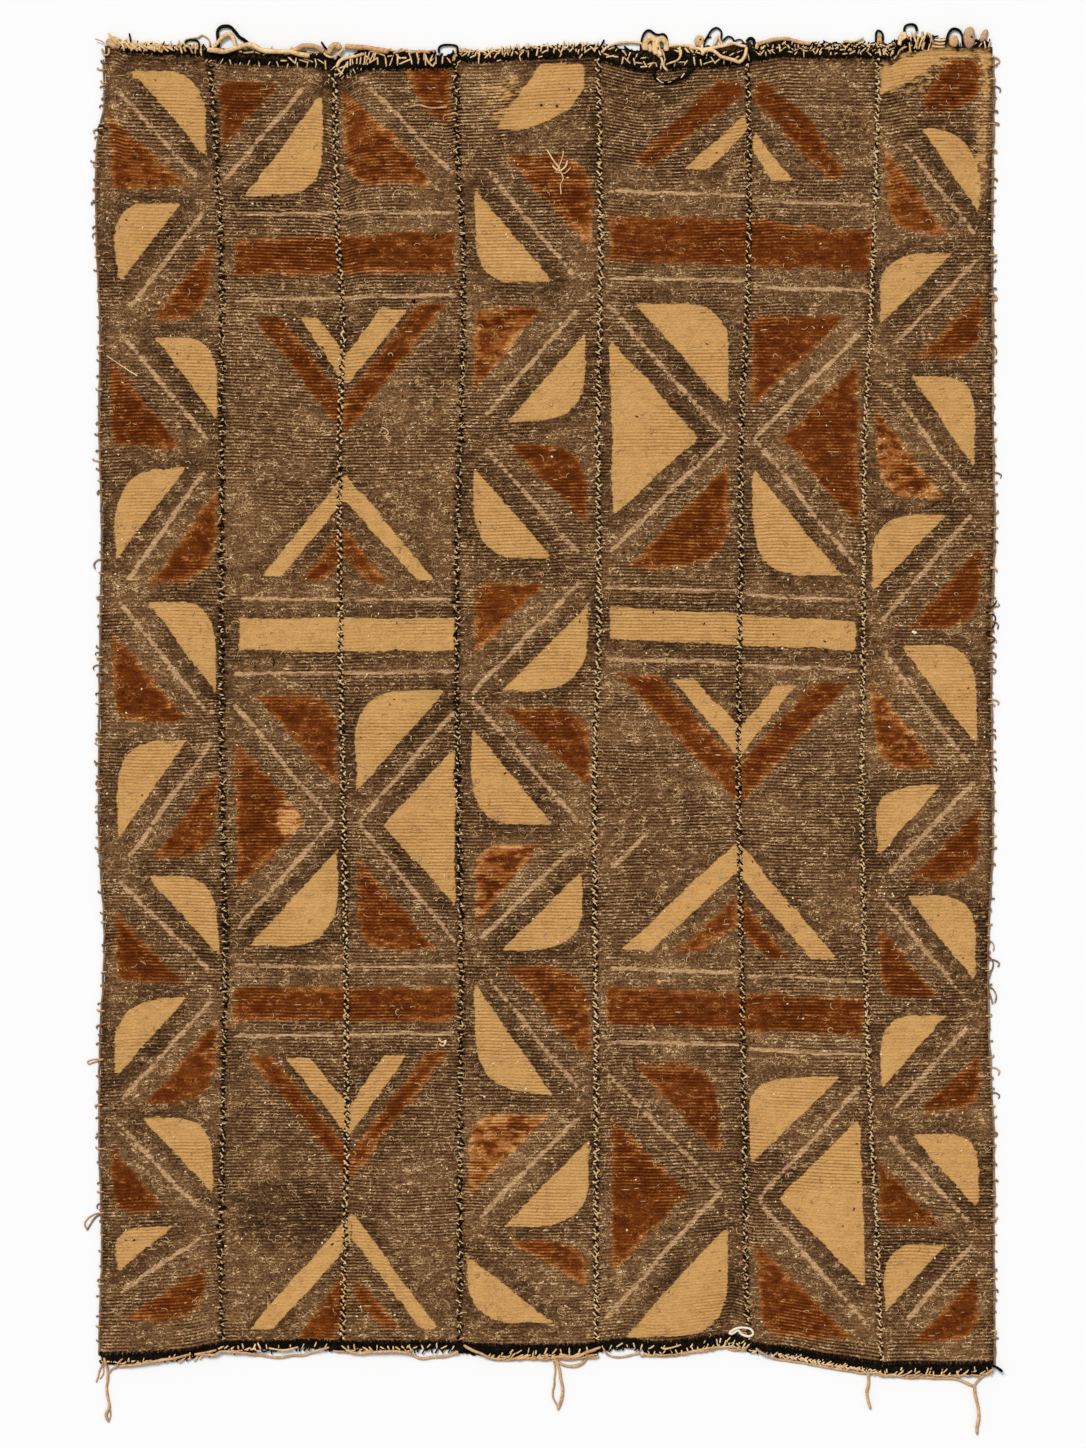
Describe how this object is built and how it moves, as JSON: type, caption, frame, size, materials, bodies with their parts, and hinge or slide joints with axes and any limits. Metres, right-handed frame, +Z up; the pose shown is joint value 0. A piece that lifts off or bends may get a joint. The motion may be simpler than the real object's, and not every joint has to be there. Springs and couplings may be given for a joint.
{
  "type": "mud cloth",
  "caption": "Mud cloth laid flat: handwoven cotton strips sewn edge to edge, painted with rust and tan geometry, whipped ends and loose yarn tails.",
  "frame": {"origin": "bottom centre of the whole outline, on the surface the cloth lies on", "axes": "+X across the strips from the first to the last, +Y along the strips towards the end with the loops, +Z up out of the painted face"},
  "size_m": [1.0473, 1.6096, 0.0066],
  "materials": {
    "mud_cloth": "matt",
    "edge_yarn": "matt",
    "weft_ends": "matt"
  },
  "bodies": {
    "root": {"strip_1": "mud_cloth", "strip_2": "mud_cloth", "strip_3": "mud_cloth", "strip_4": "mud_cloth", "strip_5": "mud_cloth", "strip_6": "mud_cloth", "strip_7": "mud_cloth", "whipping_top": "edge_yarn", "whipping_bottom": "edge_yarn", "selvedge_left": "weft_ends", "selvedge_right": "weft_ends"}
  },
  "joints": []
}
